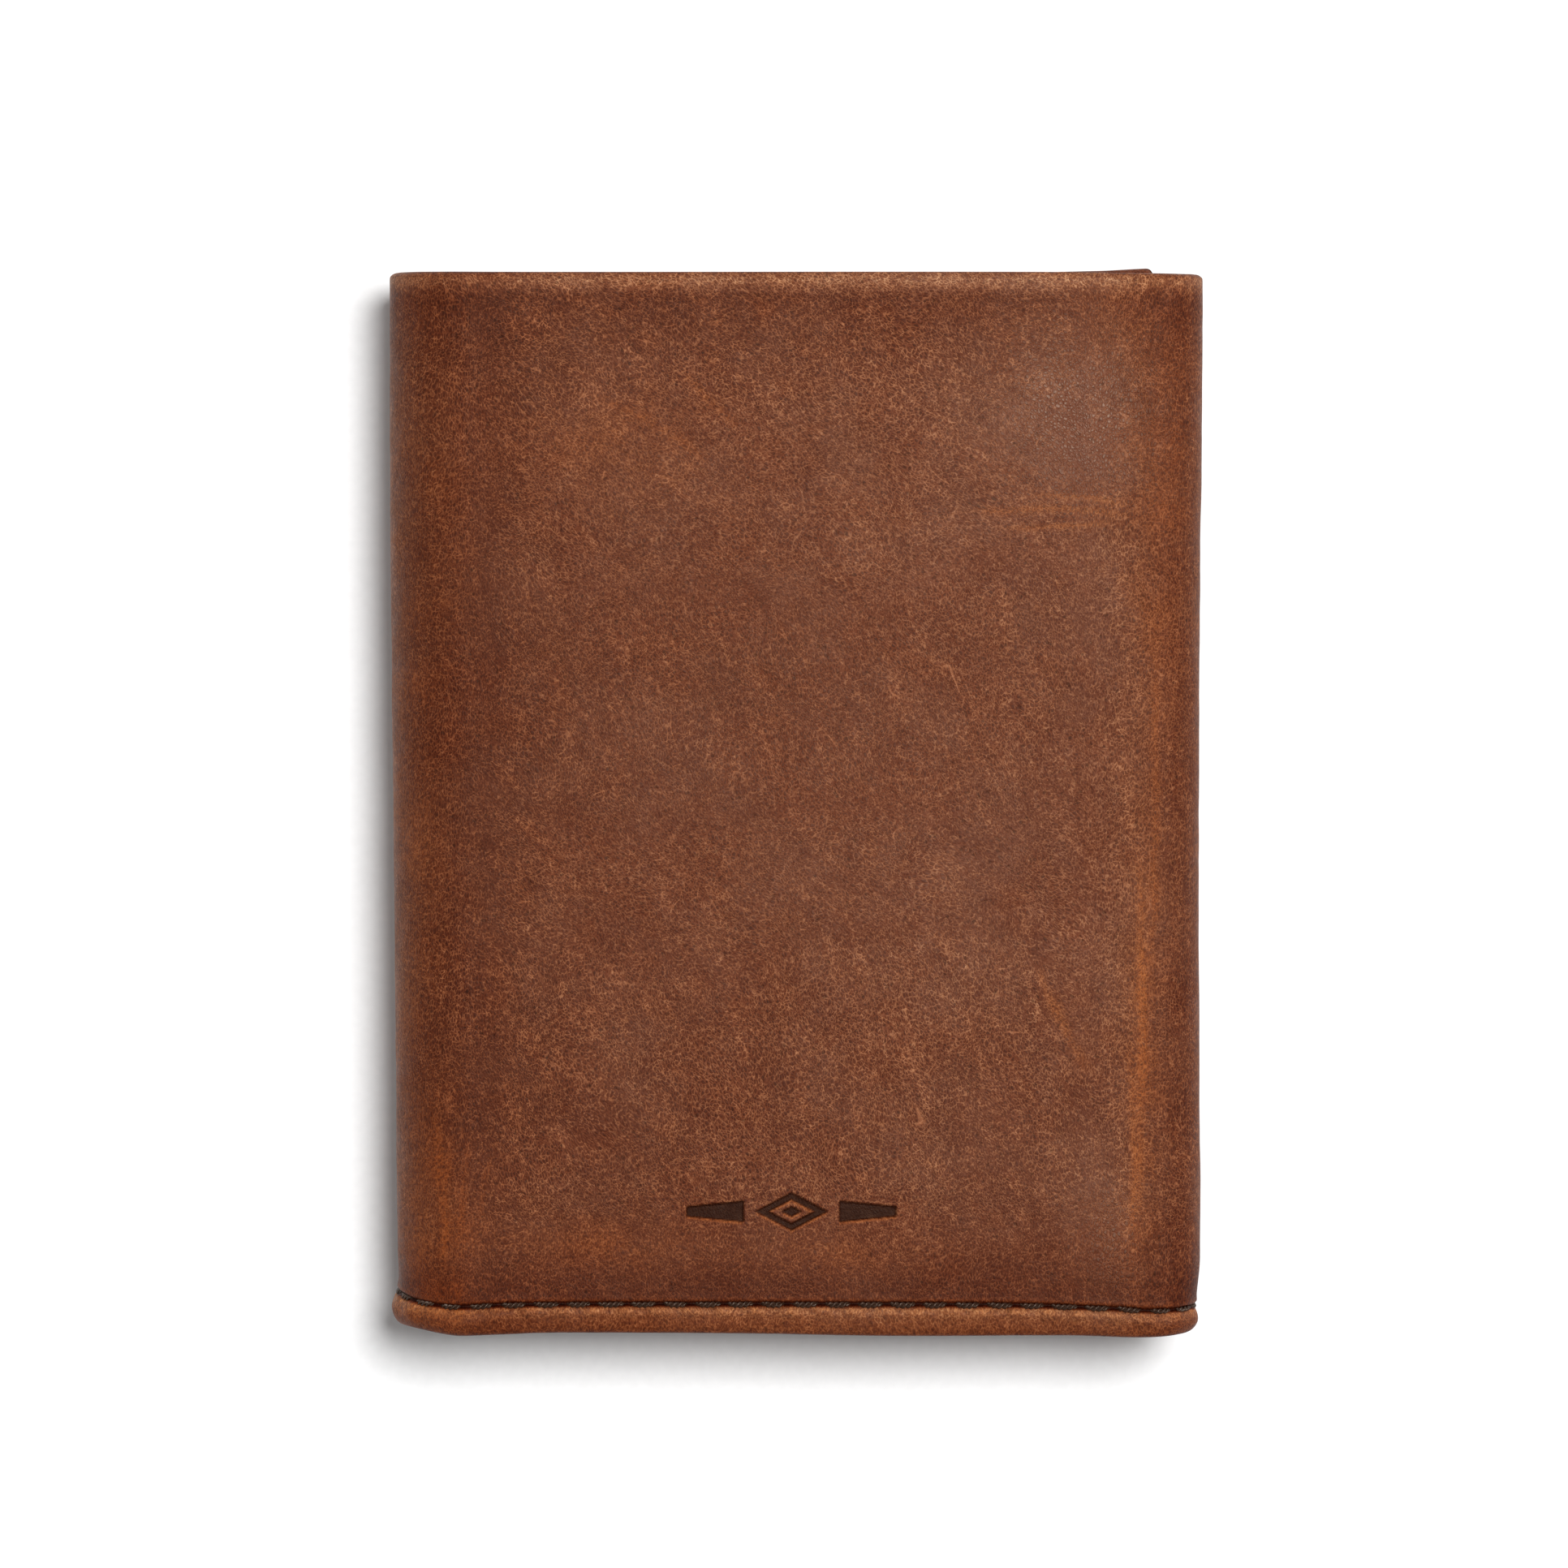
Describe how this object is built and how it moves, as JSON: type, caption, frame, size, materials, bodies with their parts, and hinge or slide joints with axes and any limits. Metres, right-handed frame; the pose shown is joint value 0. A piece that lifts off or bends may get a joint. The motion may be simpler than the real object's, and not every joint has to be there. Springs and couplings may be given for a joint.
{
  "type": "trifold wallet",
  "caption": "Trifold leather wallet, shown closed: folding panels round a banknote compartment, with card slots, a card window and sewn hems.",
  "frame": {"origin": "middle of the underside of the closed wallet, on the outer face of the back flap", "axes": "+Y towards the open top of the banknote compartment, +Z out of the centre panel's outer face, +X towards the fold that holds the inner flap"},
  "size_m": [0.0826, 0.108, 0.0163],
  "materials": {
    "hide_leather": "oiled full-grain brown leather, matt with a low sheen, lighter and orange where it is worn",
    "pocket_leather": "smooth matt brown leather",
    "lining_cloth": "plain woven dark brown cloth",
    "thread": "twisted dark brown polyester thread",
    "window_film": "clear flexible film"
  },
  "bodies": {
    "back_flap": {"back_shell": "hide_leather", "back_lining": "lining_cloth", "back_pocket_panel": "pocket_leather", "back_window_film": "window_film", "back_window_frame": "pocket_leather", "back_hem_thread": "thread", "back_edge_thread": "thread", "back_pocket_thread": "thread"},
    "left_spine": {"left_spine_leather": "hide_leather", "left_spine_lining": "lining_cloth", "left_spine_strip": "pocket_leather", "left_spine_hem_thread": "thread"},
    "centre_panel": {"centre_shell": "hide_leather", "centre_lining": "lining_cloth", "centre_pocket_panel": "pocket_leather", "centre_slot_back": "pocket_leather", "centre_slot_middle": "pocket_leather", "centre_slot_front": "pocket_leather", "centre_hem_thread": "thread", "centre_pocket_thread": "thread"},
    "right_spine": {"right_spine_leather": "hide_leather", "right_spine_lining": "lining_cloth", "right_spine_strip": "pocket_leather", "right_spine_hem_thread": "thread"},
    "inner_flap": {"inner_shell": "hide_leather", "inner_lining": "lining_cloth", "inner_pocket_panel": "pocket_leather", "inner_slot_back": "pocket_leather", "inner_slot_front": "pocket_leather", "inner_hem_thread": "thread", "inner_edge_thread": "thread", "inner_pocket_thread": "thread"}
  },
  "joints": [
    {"name": "outer_fold_lower", "type": "hinge", "parent": "back_flap", "child": "left_spine", "pos_m": [-0.03891, 0, 0.00239], "axis": [0, -1, 0], "range_deg": [0, 90]},
    {"name": "outer_fold_upper", "type": "hinge", "parent": "left_spine", "child": "centre_panel", "pos_m": [-0.03891, 0, 0.01391], "axis": [0, -1, 0], "range_deg": [0, 90]},
    {"name": "inner_fold_upper", "type": "hinge", "parent": "centre_panel", "child": "right_spine", "pos_m": [0.03993, 0, 0.01493], "axis": [0, -1, 0], "range_deg": [0, 45]},
    {"name": "inner_fold_lower", "type": "hinge", "parent": "right_spine", "child": "inner_flap", "pos_m": [0.03993, 0, 0.00832], "axis": [0, -1, 0], "range_deg": [0, 45]}
  ],
  "couplings": [
    {"joint": "outer_fold_upper", "follows": "outer_fold_lower", "ratio": 1},
    {"joint": "inner_fold_upper", "follows": "outer_fold_lower", "ratio": 0.5},
    {"joint": "inner_fold_lower", "follows": "outer_fold_lower", "ratio": 0.5}
  ]
}
